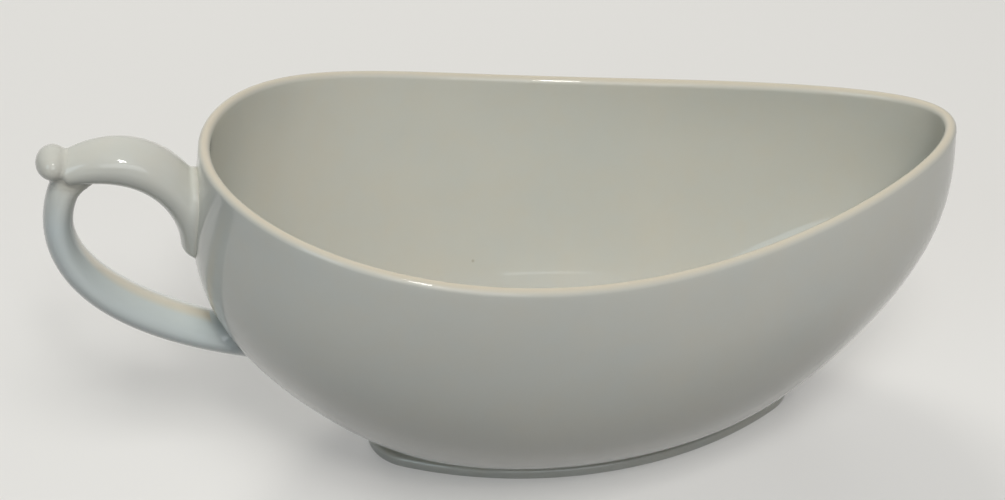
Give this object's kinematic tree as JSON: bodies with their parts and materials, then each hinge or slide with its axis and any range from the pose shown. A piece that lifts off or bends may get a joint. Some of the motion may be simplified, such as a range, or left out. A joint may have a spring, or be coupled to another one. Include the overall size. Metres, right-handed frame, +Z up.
{
  "type": "bourdaloue",
  "caption": "Boat-shaped glazed ceramic bowl with a dipped rim, a narrow front, an oval foot ring and one double-scroll loop handle with a rolled knob at its blunt end.",
  "frame": {"origin": "on the table, midway between the outer side of the handle and the front of the bowl, on the plane of symmetry", "axes": "+X along the bowl from the handle to the narrow front, +Y across the bowl, +Z up"},
  "size_m": [0.2406, 0.1126, 0.1054],
  "materials": {
    "white_glaze": "glossy warm white lead glaze over cream clay",
    "glazed_slip": "glossy, glaze pooled a little darker over slip"
  },
  "bodies": {
    "root": {"bowl": "white_glaze", "foot_ring": "white_glaze", "upper_scroll": "white_glaze", "lower_scroll": "white_glaze", "thumb_knob": "white_glaze", "upper_slip_joint": "glazed_slip", "lower_slip_joint": "glazed_slip"}
  },
  "joints": []
}
